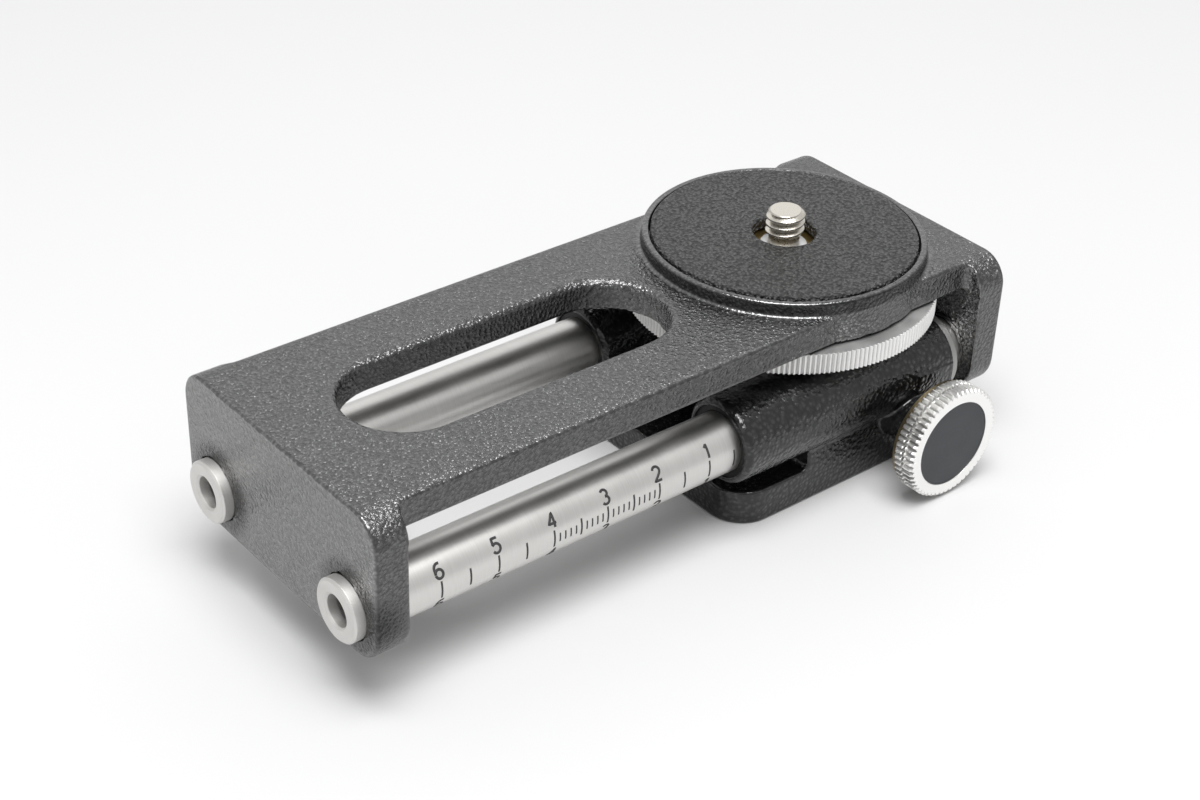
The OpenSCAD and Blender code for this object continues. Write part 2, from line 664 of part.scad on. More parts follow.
module lock_screw() color("#cfcecb") translate([-lock_reach, 0, rod_z]) {
    rod_y_axis(lock_r - run_gap, lock_face + lock_tip_l, lock_head_y + lock_head_l / 2);
    translate([0, lock_head_y + lock_head_l, 0]) rotate([90, 0, 0]) linear_extrude(lock_head_l)
        knurled_disc(lock_head_d / 2, lock_grooves, lock_groove_depth);
}

carriage();
near_front_bush();
near_rear_bush();
far_front_bush();
far_rear_bush();
tripod_insert();
top_frame();
near_rod();
far_rod();
rod_set_screws();
platform_pad();
wheel_washer();
camera_wheel();
camera_screw();
keeper_ring();
pinion_shaft();
shaft_bush();
knob_washer();
focus_knob();
knob_screw();
emblem_disc();
lock_tip();
lock_screw();
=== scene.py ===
import math

import bpy
import numpy as np
from mathutils import Matrix, Vector


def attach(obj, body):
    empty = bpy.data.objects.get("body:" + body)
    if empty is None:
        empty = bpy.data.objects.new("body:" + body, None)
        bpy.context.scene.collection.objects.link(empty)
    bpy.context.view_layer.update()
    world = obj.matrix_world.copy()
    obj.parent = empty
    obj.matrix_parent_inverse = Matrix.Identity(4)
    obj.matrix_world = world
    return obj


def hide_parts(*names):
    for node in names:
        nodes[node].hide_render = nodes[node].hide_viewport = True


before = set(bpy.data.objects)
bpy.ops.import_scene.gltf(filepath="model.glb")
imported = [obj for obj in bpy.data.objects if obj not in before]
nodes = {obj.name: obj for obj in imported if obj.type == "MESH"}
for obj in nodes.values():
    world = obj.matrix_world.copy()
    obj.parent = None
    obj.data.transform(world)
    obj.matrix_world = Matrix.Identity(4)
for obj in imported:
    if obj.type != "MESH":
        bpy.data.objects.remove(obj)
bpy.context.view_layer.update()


# ---------- the cast frame ----------
# One aluminium casting: a slotted top plate, two end plates that carry the rods, and the round
# camera platform with its raised lip. It comes from the mould with soft corners and is stoved
# in a black hammer paint.

MM = 0.001
FRONT, REAR = -92.6, 31.2  # outer faces of the end plates
PLATE_T, PLATE_HALF, PLATE_LOW = 5.7, 25.2, 9.8  # their thickness, half width and lower edge
TOP, UNDER, SIDE = 34.6, 29.6, 21.8  # faces of the top plate, and half its width
SLOT_A, SLOT_B, SLOT_R = -80.1, -22.9, 9.85  # ends of the slot, and half its width
ROD_Y, ROD_Z, ROD_R = 17.5, 16.6, 5.0  # the rods' distance from the middle, height and radius
SCREW_X, PLATFORM_R, LIP = 4.6, 23.35, 37.0  # the platform's middle, radius and height
RECESS_R, RECESS_Z = 22.15, 35.4  # recess for the leather
SEAT_R, SEAT_Z, HUB_R = 6.6, 34.2, 4.34  # seat of the keeper ring, and bore of the hub
SET_R = 1.52  # bores of the set screws
WINDOW_X, WINDOW_Z, WINDOW_HALF = 28.35, 27.425, (4, 16.5, 2.175)  # window for the wheel
MARGIN = 0.4  # how far a grid reaches beyond its casting


def box_edge(parts):
    """Signed distance to where several slabs overlap: each slab gives its own distance, the
    largest of them counts inside, and outside the positive ones add up as a diagonal."""
    outside = np.sqrt(sum(np.maximum(p, 0) ** 2 for p in parts))
    inside = parts[0]
    for p in parts[1:]:
        inside = np.maximum(inside, p)
    return outside + np.minimum(inside, 0)


def soft_rect(u, v, centre, half, r):
    """Signed distance to a rectangle with corners of radius r: the distance to the rectangle
    that is smaller by r all round, less r."""
    return box_edge([abs(u - centre[0]) - half[0] + r, abs(v - centre[1]) - half[1] + r]) - r


def drum(u, v, w, radius, low, high, r=0.3):
    """Signed distance to a cylinder about the w axis, from low to high, with its two rims
    rounded by r."""
    across = np.sqrt(u**2 + v**2) - radius + r
    return box_edge([across, abs(w - (low + high) / 2) - (high - low) / 2 + r]) - r


def weld(a, b, r):
    """Union of two distances with a hollow fillet of radius r in the corner between them: near
    both surfaces the distance is r less the diagonal of what each lacks of r."""
    return np.maximum(r, np.minimum(a, b)) - np.sqrt(
        np.maximum(r - a, 0) ** 2 + np.maximum(r - b, 0) ** 2
    )


def carve(a, b, r):
    """a without b, with the new edge rounded by r: the same fillet, seen from the other side."""
    return -weld(-a, b, r)


def common(a, b, r):
    """What a and b share, with the edge between their faces rounded by r."""
    return -weld(-a, -b, r)


def rod_axis(y, z):
    """Distance from the nearer rod's axis."""
    return np.sqrt((abs(y) - ROD_Y) ** 2 + (z - ROD_Z) ** 2)


def frame_distance(x, y, z):
    """The casting as a distance: a bridge (a bar with the bay between the end plates taken out)
    within the end plates' outline, less the strips beside the top plate, with the platform
    welded on, less the slot, the leather's recess, the hub's bore, the wheel's window and the
    rods' and set screws' bores. The last number of each step is the radius of its new edge."""
    ay = abs(y)
    middle, half = (FRONT + REAR) / 2, (REAR - FRONT) / 2
    bay = soft_rect(x, z, (middle, UNDER - 40), (half - PLATE_T, 40), 0.9)
    bridge = np.maximum(abs(x - middle) - half, -bay)
    level = (TOP + PLATE_LOW) / 2
    corner = np.where(z > level, 5.0, 5.8)
    outline = soft_rect(y, z, (0, level), (PLATE_HALF, TOP - level), corner)
    d = common(bridge, outline, 0.55)
    strip = soft_rect(x, ay, (middle, SIDE + 20), (half - PLATE_T, 20), 1.6)
    d = carve(d, strip, 0.35)
    px = x - SCREW_X
    upper = drum(px, y, z, PLATFORM_R, UNDER + 2, LIP, 0.5)
    lower = drum(px, y, z, PLATFORM_R, UNDER, UNDER + 4, 0.2)
    # the platform's fillet fades from the top plate's upper face downwards
    fillet = 0.25 + 0.4 * np.clip(z - TOP + 1, 0, 1)
    d = np.minimum(weld(d, upper, fillet), lower)
    past = np.maximum(np.maximum(SLOT_A + SLOT_R - x, x - SLOT_B + SLOT_R), 0)
    slot = np.sqrt(past**2 + y**2) - SLOT_R
    d = carve(d, slot, 0.3 + 0.9 * np.clip((z - UNDER - 1) / 2, 0, 1))
    d = carve(d, drum(px, y, z, RECESS_R, RECESS_Z, 50, 0.1), 0.25)
    d = np.maximum(d, -drum(px, y, z, SEAT_R, SEAT_Z, 50, 0.1))
    d = np.maximum(d, -drum(px, y, z, HUB_R, 0, 50, 0.05))
    reach = abs(x - WINDOW_X), ay, abs(z - WINDOW_Z)
    window = box_edge([r - half_size for r, half_size in zip(reach, WINDOW_HALF)])
    d = carve(d, window, 0.4 * np.clip((x - 27.5) / 2, 0, 1))
    d = carve(d, rod_axis(y, z) - ROD_R + 0.03, 0.22)
    for plate in (FRONT + PLATE_T / 2, REAR - PLATE_T / 2):
        d = carve(d, drum(x - plate, ay - ROD_Y, z, SET_R, 0, 13, 0.1), 0.15)
    return d


def planes(low, high, wide, close):
    """Places of the grid's planes along one axis: their density is 1/wide, and rises to 1/step
    from a to b for each (a, b, step) in close, where the casting has an edge, and falls away
    over a millimetre outside it. The density's running sum is cut into equal steps."""
    t = np.linspace(low, high, 6001)
    dense = np.full_like(t, 1 / wide)
    for a, b, step in close:
        gap = np.maximum(np.maximum(a - t, t - b), 0)
        dense = np.maximum(dense, 1 / wide + (1 / step - 1 / wide) * np.exp(-(gap**2)))
    total = np.concatenate([[0], np.cumsum((dense[1:] + dense[:-1]) / 2 * np.diff(t))])
    return np.interp(np.linspace(0, total[-1], int(total[-1]) + 2), total, t)


def grid_mesh(name, points, faces, normals=None, sharp=None):
    """A mesh object at the origin from points in millimetres and faces of three or four
    corners, shaded smooth, with its own normals where they are given. Where sharp is given,
    edges that turn by more than so many degrees stay sharp."""
    mesh = bpy.data.meshes.new(name)
    faces = np.asarray(faces)
    mesh.vertices.add(len(points))
    mesh.vertices.foreach_set("co", (np.asarray(points) * MM).astype(np.float32).ravel())
    mesh.loops.add(faces.size)
    mesh.loops.foreach_set("vertex_index", faces.astype(np.int32).ravel())
    mesh.polygons.add(len(faces))
    starts = np.arange(0, faces.size, faces.shape[1], dtype=np.int32)
    mesh.polygons.foreach_set("loop_start", starts)
    mesh.polygons.foreach_set("use_smooth", np.ones(len(faces), bool))
    mesh.update(calc_edges=True)
    mesh.validate()
    if normals is not None:
        mesh.normals_split_custom_set_from_vertices(normals.astype(np.float32))
    if sharp is not None:
        mesh.set_sharp_from_angle(angle=math.radians(sharp))
    piece = bpy.data.objects.new(name, mesh)
    bpy.context.scene.collection.objects.link(piece)
    return piece


def cast_mesh(name, distance, xs, ys, zs):
    """Surface where distance(x, y, z) is zero, on the grid of planes xs, ys, zs. Each cell that
    the surface crosses gets one point, the mean of its edges' crossings, moved on to the
    surface along the slope of the distance. Each grid edge that crosses gets one four-sided
    face, between the four cells round it. The slope is also the face's normal."""
    v = distance(xs[:, None, None], ys[None, :, None], zs[None, None, :])
    v = np.where(v == 0, 1e-9, v)
    grid = [xs, ys, zs]
    shape = [n - 1 for n in v.shape]
    total, count = np.zeros(shape + [3]), np.zeros(shape)
    crossings = []
    for axis in range(3):
        others = [k for k in range(3) if k != axis]
        order = [axis] + others
        a = np.moveaxis(v, axis, 0)
        cross = (a[:-1] < 0) != (a[1:] < 0)
        share = np.where(cross, a[:-1] / np.where(cross, a[:-1] - a[1:], 1), 0)
        along = grid[axis].reshape(-1, 1, 1)
        at = [
            along[:-1] + share * (along[1:] - along[:-1]),
            grid[others[0]].reshape(1, -1, 1) + 0 * share,
            grid[others[1]].reshape(1, 1, -1) + 0 * share,
        ]
        crossings.append((np.moveaxis(cross, 0, axis), np.moveaxis(a[:-1] < 0, 0, axis)))
        wide, deep = cross.shape[1] - 1, cross.shape[2] - 1
        for p in (0, 1):
            for q in (0, 1):
                part = (slice(None), slice(p, wide + p), slice(q, deep + q))
                c = np.moveaxis(cross[part], 0, axis)
                count += c
                for k in range(3):
                    total[..., order[k]] += c * np.moveaxis(at[k][part], 0, axis)
    cells = count > 0
    number = np.full(shape, -1)
    number[cells] = np.arange(cells.sum())
    points = total[cells] / count[cells][:, None]
    faces = []
    for axis in range(3):
        cross, rising = crossings[axis]
        b, c = (axis + 1) % 3, (axis + 2) % 3
        spot = np.argwhere(cross)
        inner = (spot[:, b] > 0) & (spot[:, c] > 0)
        inner &= (spot[:, b] < v.shape[b] - 1) & (spot[:, c] < v.shape[c] - 1)
        spot = spot[inner]
        loop = []
        for db, dc in ((-1, -1), (0, -1), (0, 0), (-1, 0)):
            cell = spot.copy()
            cell[:, b] += db
            cell[:, c] += dc
            loop.append(number[cell[:, 0], cell[:, 1], cell[:, 2]])
        quad = np.stack(loop, 1)
        out = rising[spot[:, 0], spot[:, 1], spot[:, 2]]
        faces.append(np.where(out[:, None], quad, quad[:, ::-1]))
    faces = np.concatenate(faces)

    def slope(p, h=0.02):
        """How fast the distance grows along x, y and z, from its change over h to each side."""
        steps = [distance(*(p + h * e).T) - distance(*(p - h * e).T) for e in np.eye(3)]
        return np.stack(steps, 1) / (2 * h)

    for _ in range(3):
        s = slope(points)
        step = distance(*points.T)[:, None] * s / np.maximum((s**2).sum(1), 0.25)[:, None]
        points = points - np.clip(step, -0.3, 0.3)
    normals = slope(points, 0.05)
    normals /= np.linalg.norm(normals, axis=1)[:, None]
    return grid_mesh(name, points, faces, normals)


def plug(material, owner, **inputs):
    """Fills sockets of a shader node, called by name with _ for a space, or i0, i1 by place: a
    number or a colour is set on the socket, and another node's output is linked to it."""
    for key, value in inputs.items():
        name = int(key[1:]) if key[1:].isdigit() else key.replace("_", " ")
        if isinstance(value, bpy.types.NodeSocket):
            material.node_tree.links.new(value, owner.inputs[name])
        else:
            owner.inputs[name].default_value = value


def node(material, kind, settings=None, **inputs):
    """Adds one shader node with its properties and its sockets."""
    made = material.node_tree.nodes.new("ShaderNode" + kind)
    for key, value in (settings or {}).items():
        setattr(made, key, value)
    plug(material, made, **inputs)
    return made


def shader_of(name):
    """A new material with its one shader, and the object coordinates that its patterns read."""
    material = bpy.data.materials.new(name)
    material.use_nodes = True
    shader = material.node_tree.nodes["Principled BSDF"]
    place = node(material, "TexCoord").outputs["Object"]
    return material, shader, place


def maths(material, operation, *values):
    """One step of arithmetic on the values."""
    inputs = {f"i{k}": value for k, value in enumerate(values)}
    return node(material, "Math", {"operation": operation}, **inputs).outputs[0]


def span(material, value, low, high, first, last):
    """Turns the range of value from low to high into first to last, and holds it there."""
    ends = {"From_Min": low, "From_Max": high, "To_Min": first, "To_Max": last}
    return node(material, "MapRange", Value=value, **ends).outputs["Result"]


def ramp(material, value, first, last, low=0.0, high=1.0):
    """A colour between first, where value is low, and last, where it is high."""
    made = node(material, "ValToRGB", Fac=value)
    for k, (position, colour) in enumerate(((low, first), (high, last))):
        made.color_ramp.elements[k].position = position
        made.color_ramp.elements[k].color = (*colour, 1)
    return made.outputs["Color"]


def noise(material, place, scale, detail, rough=0.5):
    """Cloudy noise from 0 to 1, with about scale clouds to the metre."""
    inputs = {"Scale": scale, "Detail": detail, "Roughness": rough}
    return node(material, "TexNoise", Vector=place, **inputs).outputs["Fac"]


def domes(material, place, scale, smooth):
    """Distance from the nearest of scale scattered points to the metre, softly joined."""
    kind = {"feature": "SMOOTH_F1"}
    made = node(material, "TexVoronoi", kind, Vector=place, Scale=scale, Smoothness=smooth)
    return made.outputs["Distance"]


def hammer_paint(name, ior, scale, relief, grain, gloss, painted_facing_light=(1, 1), painted_dark_spots=()):
    """Black stoved paint: an orange-peel skin of small domes, scale of them to the metre and of
    that relief in metres, with a share of finer grain that sparkles, and a roughness that rises
    a little from gloss. The paint draws thin over sharp edges and pools in corners, so the skin
    fades to smooth there. The hollows between the domes are painted darker and reflect less, as
    painted shade. The facing pair scales the shine on the faces that look forward and on those
    that look to the near side: a painted highlight where it is over one, painted shade where it
    is under. Each shell, given as (point, radius, dark within, full beyond, least, torn) in
    millimetres, is a painted dark reflection: near it the paint reflects only the least share,
    its edge torn by so much of the skin."""
    material, shader, place = shader_of(name)
    peel = domes(material, place, scale, 0.6)
    fine = noise(material, place, 5500, 1)
    skin = maths(material, "MULTIPLY_ADD", fine, -grain, peel)
    geometry = node(material, "NewGeometry")
    bend = maths(material, "SUBTRACT", geometry.outputs["Pointiness"], 0.5)
    bend = maths(material, "ABSOLUTE", bend)
    calm = span(material, bend, 0.006, 0.03, 1.0, 0.25)
    bump = node(material, "Bump", {"invert": True}, Strength=calm, Distance=relief, Height=skin)
    dull = span(material, noise(material, place, 160, 2), 0.3, 0.7, gloss, gloss + 0.07)
    # painted shade: the paint reflects less in the hollows between the domes
    shine = span(material, skin, -0.1, 0.4, 0.72, 0.38)
    # painted highlight on the faces that look forward and painted shade on the near side, by how
    # far each face looks that way
    facing = node(material, "SeparateXYZ", i0=geometry.outputs["Normal"])
    for axis in (0, 1):
        kept = span(material, facing.outputs[axis], -1.0, -0.3, painted_facing_light[axis], 1.0)
        shine = maths(material, "MULTIPLY", shine, kept)
    # painted dark reflections: the shine falls away near each shell
    for point, radius, dark, unshaded, least, torn in painted_dark_spots:
        centre = tuple(c * MM for c in point)
        reach = node(material, "VectorMath", {"operation": "DISTANCE"}, i0=place, i1=centre)
        off = maths(material, "SUBTRACT", reach.outputs["Value"], radius * MM)
        off = maths(material, "ABSOLUTE", off)
        ragged = maths(material, "MULTIPLY_ADD", skin, torn * MM, off)
        share = span(material, ragged, dark * MM, unshaded * MM, least, 1.0)
        shine = maths(material, "MULTIPLY", shine, share)
    # painted shade: the tone is darker in the hollows between the domes
    tone = ramp(material, peel, (0.009, 0.009, 0.0095), (0.004, 0.004, 0.004), 0.3, 0.75)
    plug(material, shader, Base_Color=tone, Roughness=dull, Normal=bump.outputs["Normal"])
    plug(material, shader, Specular_IOR_Level=shine, IOR=ior)
    return material


# The shine was fitted to the greys of the photograph and is painted light: the front plate
# has more of it, a painted highlight, the near side less, painted shade, and the front plate
# beside the rods and the platform's wall have little, painted dark reflections. The shine was
# fitted to the greys of the photograph, and whether wear or the light made them isn't known:
# the front plate has more of it, the near side less, and the front plate beside the rods and
# the platform's wall have little.
dark_reflection_beside_rods = [((FRONT, y - 1.3, ROD_Z + 0.8), 0, 6.9, 8.9, 0.2, 3) for y in (-ROD_Y, ROD_Y)]
dark_reflection_on_wall = ((SCREW_X, 0, LIP + 9), 25.45, 0.4, 0.6, 0.3, 0)
frame_paint = hammer_paint(
    "black_hammer_paint",
    2.2,
    1800,
    0.00024,
    0.45,
    0.14,
    painted_facing_light=(1.65, 0.7),
    painted_dark_spots=[*dark_reflection_beside_rods, dark_reflection_on_wall],
)

# planes stand close where the casting has its edges
along = [(-92.4, -92.2, 0.25), (-86.9, -86.9, 0.3), (-80, -72, 0.7), (-31, -23, 0.7)]
along += [(-19, 28.3, 0.52), (25.4, 25.4, 0.3), (31, 31, 0.25)]
across = [(-25, -25, 0.3), (-21.8, -21.8, 0.3), (-9.85, -9.85, 0.4)]
across += [(9.85, 9.85, 0.4), (21.8, 21.8, 0.3), (25, 25, 0.3)]
upward = [(10, 10, 0.3), (29.6, 29.6, 0.35), (33.6, 35.6, 0.25), (36.7, 36.7, 0.18)]
casting = cast_mesh(
    "frame_casting",
    frame_distance,
    planes(FRONT - MARGIN, REAR + MARGIN, 1.6, along),
    planes(-PLATE_HALF - MARGIN, PLATE_HALF + MARGIN, 0.7, across),
    planes(PLATE_LOW - MARGIN, LIP + MARGIN, 1.3, upward),
)
casting.data.materials.append(frame_paint)
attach(casting, "frame")
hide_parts("top_frame")


# ---------- the rods ----------
# Two ground steel tubes, pressed through the end plates and held there by set screws. The near
# one carries the rack on its underside and the scale on its outer side.


def ground_steel():
    """Centreless-ground steel: fine rings round the rod, a satin sheen and a faint unevenness.
    The ends, where they stand out of the end plates, are turned and duller."""
    material, shader, place = shader_of("ground_steel")
    rings = node(material, "Mapping", Vector=place, Scale=(1, 0.02, 0.02))
    line = noise(material, rings.outputs[0], 9000, 3, 0.6)
    soft = node(material, "Bevel", {"samples": 4}, Radius=0.00012)
    relief = {"Strength": 0.12, "Distance": 0.00002}
    bump = node(material, "Bump", Height=line, Normal=soft.outputs[0], **relief)
    dull = span(material, noise(material, place, 120, 3), 0.3, 0.7, 0.34, 0.42)
    middle, end = (FRONT + REAR) / 2 * MM, (REAR - FRONT) / 2 * MM
    reach = maths(material, "SUBTRACT", node(material, "SeparateXYZ", i0=place).outputs[0], middle)
    reach = maths(material, "ABSOLUTE", reach)
    dull = maths(material, "ADD", dull, span(material, reach, end - 0.1 * MM, end, 0.0, 0.2))
    tone = ramp(material, line, (0.58, 0.57, 0.555), (0.74, 0.73, 0.71))
    plug(material, shader, Base_Color=tone, Roughness=dull, Normal=bump.outputs["Normal"])
    plug(material, shader, Metallic=1.0)
    return material


def dress(name, material):
    """Gives a CAD node its material."""
    mesh = nodes[name].data
    mesh.materials.clear()
    mesh.materials.append(material)


steel = ground_steel()
dress("near_rod", steel)
dress("far_rod", steel)


# ---------- the scale on the near rod ----------
# Lines round the rod every half centimetre, with a number at each whole one and millimetres in
# between them for the middle two. They are rolled in and filled with black.

SCALE_END = -79.8  # where the line of number 6 is
NUMERAL, NUMERAL_LEFT = 2.2, 0.68  # height of a numeral, and half its width
LONG_W, NUMERAL_W, SHORT_W = 0.31, 0.42, 0.25  # widths of the strokes


def ink():
    """Black filling in fine engraved lines, dull and slightly broken up."""
    material, shader, place = shader_of("scale_filling")
    speck = noise(material, place, 9000, 2)
    tone = ramp(material, speck, (0.008, 0.008, 0.008), (0.05, 0.05, 0.05))
    plug(material, shader, Base_Color=tone, Roughness=0.6)
    return material


def stroke(path, width):
    """A closed ribbon along a path of (along the rod, round the rod) points: its two sides lie
    half a width to the left and right of the path, and it stands from just under the rod's
    surface to just over it. Rolled round the rod, a length s becomes the angle s / radius."""
    p = np.asarray(path, float)
    d = np.gradient(p, axis=0)
    d /= np.linalg.norm(d, axis=1)[:, None]
    side = np.stack([-d[:, 1], d[:, 0]], 1) * width / 2
    flat = np.stack([p + side, p - side], 1)
    angle = flat[..., 1] / ROD_R
    rings = []
    for r in (ROD_R + 0.012, ROD_R - 0.05):
        across, up = r * np.cos(angle), r * np.sin(angle)
        rings.append(np.stack([flat[..., 0], -ROD_Y - across, ROD_Z + up], -1))
    # corners in turn: left above, right above, right below, left below
    loop = np.stack([rings[0][:, 0], rings[0][:, 1], rings[1][:, 1], rings[1][:, 0]], 1)
    n = len(p)
    start = np.arange(n - 1)[:, None] * 4
    k = np.arange(4)
    after = (k + 1) % 4
    quads = np.stack([start + k, start + 4 + k, start + 4 + after, start + after], -1)
    ends = np.array([[0, 1, 2, 3], [4 * n - 1, 4 * n - 2, 4 * n - 3, 4 * n - 4]])
    return loop.reshape(-1, 3), np.concatenate([quads.reshape(-1, 4), ends])[:, ::-1]


def arc(cx, cy, rx, ry, a, b, steps=18):
    """Points of an ellipse's arc from angle a to angle b, in degrees."""
    t = np.radians(np.linspace(a, b, steps))
    return np.stack([cx + rx * np.cos(t), cy + ry * np.sin(t)], 1)


def line(*corners):
    """Twelve points along each straight line between the corners, which they share."""
    c = np.array(corners, float)
    run = [np.linspace(c[i], c[i + 1], 12)[:-1] for i in range(len(c) - 1)]
    return np.concatenate([*run, c[-1:]])


def numeral(n):
    """The stroke of a numeral in a cell one unit high and 0.62 wide, its lower left at the
    origin."""
    if n == 1:
        return line((0.16, 0.78), (0.36, 1.0), (0.36, 0.0))
    if n == 4:
        return line((0.46, 0.0), (0.46, 1.0), (0.02, 0.3), (0.62, 0.3))
    if n == 2:
        parts = arc(0.3, 0.72, 0.28, 0.28, 165, -35), line((0.50, 0.5), (0.02, 0.0), (0.6, 0.0))
    elif n == 3:
        parts = arc(0.28, 0.75, 0.25, 0.25, 150, -80), arc(0.28, 0.27, 0.29, 0.27, 80, -150)
    elif n == 5:
        top = line((0.54, 1.0), (0.12, 1.0), (0.07, 0.55))
        parts = top, arc(0.28, 0.32, 0.3, 0.32, 120, -150)
    else:
        parts = arc(0.42, 0.62, 0.38, 0.38, 75, 170), arc(0.31, 0.3, 0.28, 0.3, 180, -175, 34)
    return np.concatenate(parts)


def rod_scale():
    """All the scale's strokes in one mesh. The line of number n lies 10 (6 - n) from the
    scale's end, and each number stands above its line and again below it."""
    strokes = []
    for half in range(11, -1, -1):
        n = (half + 1) / 2
        x = SCALE_END + 10 * (6 - n)
        strokes.append((line((x, -1.35), (x, 1.55)), LONG_W))
        if n == int(n):
            for low in (2.0, -4.1):
                path = numeral(int(n)) * NUMERAL + (x - NUMERAL_LEFT, low)
                strokes.append((path, NUMERAL_W))
    for k in range(1, 20):
        if k % 5:
            x = SCALE_END + 20 + k
            strokes.append((line((x, -0.7), (x, 0.8)), SHORT_W))
    points, faces, count = [], [], 0
    for path, width in strokes:
        p, f = stroke(path, width)
        points.append(p)
        faces.append(f + count)
        count += len(p)
    return grid_mesh("rod_scale", np.concatenate(points), np.concatenate(faces))


scale = rod_scale()
scale.data.materials.append(ink())
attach(scale, "frame")


# ---------- the set screws in the end plates ----------
# Four small hexagon socket screws of black oxide steel, let into the undersides of the end
# plates, where they press on the rods.


def black_oxide():
    """Blackened steel with a slightly brown, patchy sheen."""
    material, shader, place = shader_of("black_oxide")
    patch = noise(material, place, 1800, 3)
    tone = ramp(material, patch, (0.03, 0.028, 0.026), (0.11, 0.105, 0.10))
    plug(material, shader, Base_Color=tone, Roughness=0.4, Metallic=0.8)
    return material


oxide = black_oxide()
dress("rod_set_screws", oxide)


# ---------- the cast carriage ----------
# The second casting: a foot for the tripod, a web over its rear two thirds, and a sleeve round
# each rod. Bosses on its sides take the pinion shaft and the lock screw. It has a glossier
# black paint than the frame's.

SLEEVE_A, SLEEVE_B, SLEEVE_R, SLEEVE_BORE = -23.8, 21.8, 7.2, 5.98  # ends and radii
FOOT_X, FOOT_Y, FOOT_R = 21.8, 21.1, 6.3  # half sizes of the foot, and its corners
NOTCH_X, NOTCH_Z = -6.7, 6.2  # the web ends here, and the foot's upper face is here
KNOB_X, KNOB_Z, LOCK_X = 13.3, 10.25, -10  # axes of the knob and of the lock screw
# radius, low end and high end of the bosses and bores
KNOB_BOSS, KNOB_BORE = (4.3, -29.2, -15), (2.99, -40, -13.66)
LOCK_BOSS, LOCK_BORE = (4.8, 15, 27.7), (2.5, 17.5, 40)
SOCKET = (4.78, -10, 9)
PAD, PAD_HALF = (17.7, -20.7, 14.225), (3.9, 3.8, 3.775)  # the side pad's middle and half sizes


def carriage_distance(x, y, z):
    """Foot and web as one L, cut out of a block above the foot's front and held within the
    foot's outline, with the sleeves, bosses and side pad welded on and every bore taken out.
    The last number of each step is the radius of its new edge."""
    notch = soft_rect(x, z, (NOTCH_X - 40, NOTCH_Z + 40), (40, 40), 1.0)
    step = np.maximum(np.maximum(z - ROD_Z, -z), -notch)
    plan = soft_rect(x, y, (0, 0), (FOOT_X, FOOT_Y), FOOT_R)
    d = common(step, plan, 0.6)
    # the fillets fade out towards the carriage's flat rear face
    fade = np.clip((20.6 - x) / 1.5, 0, 1)
    ring = rod_axis(y, z) - SLEEVE_R
    middle, half = (SLEEVE_A + SLEEVE_B) / 2, (SLEEVE_B - SLEEVE_A) / 2
    sleeve = np.maximum(ring, abs(x - middle) - half)
    bevel = (ring + SLEEVE_A - x + 0.7) / math.sqrt(2)
    sleeve = common(sleeve, bevel, 0.25)
    d = weld(d, sleeve, 0.05 + 0.9 * fade)
    pad = box_edge([abs(p - c) - h for p, c, h in zip((x, y, z), PAD, PAD_HALF)]) - 0.2
    d = weld(d, pad, 0.05 + 0.35 * fade)
    boss = drum(x - KNOB_X, z - KNOB_Z, y, *KNOB_BOSS, 0.35)
    d = weld(d, boss, 0.7)
    lock = drum(x - LOCK_X, z - ROD_Z, y, *LOCK_BOSS, 0.5)
    d = weld(d, lock, 0.9)
    d = carve(d, rod_axis(y, z) - SLEEVE_BORE, 0.2)
    d = carve(d, drum(x - KNOB_X, z - KNOB_Z, y, *KNOB_BORE, 0.05), 0.15)
    d = carve(d, drum(x - LOCK_X, z - ROD_Z, y, *LOCK_BORE, 0.05), 0.2)
    d = carve(d, drum(x, y, z, *SOCKET, 0.05), 0.3)
    return d


along = [(-23.5, -23.3, 0.2), (-6.7, -6.7, 0.3), (13.6, 13.6, 0.3), (21.7, 21.7, 0.25)]
across = [(-29, -29, 0.25), (-24.7, -24.7, 0.3), (-21.1, -21.1, 0.3)]
across += [(21.1, 21.1, 0.3), (27.5, 27.5, 0.25)]
upward = [(0.2, 0.2, 0.25), (6.1, 6.1, 0.25), (18.2, 18.2, 0.3)]
carriage = cast_mesh(
    "carriage_casting",
    carriage_distance,
    planes(SLEEVE_A - MARGIN, SLEEVE_B + MARGIN, 0.6, along),
    planes(KNOB_BOSS[1] - MARGIN, LOCK_BOSS[2] + MARGIN, 0.55, across),
    planes(-MARGIN, ROD_Z + SLEEVE_R + MARGIN, 0.55, upward),
)
carriage_paint = hammer_paint("black_gloss_paint", 1.65, 1400, 0.00016, 0.2, 0.09)
carriage.data.materials.append(carriage_paint)
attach(carriage, "carriage")
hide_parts("carriage")


# ---------- the bushes and the tripod insert ----------
# Turned bearing bushes, pressed into the sleeves' ends, the rear ones with a bevelled flange. A
# threaded steel ring reduces the tripod socket to the smaller thread.


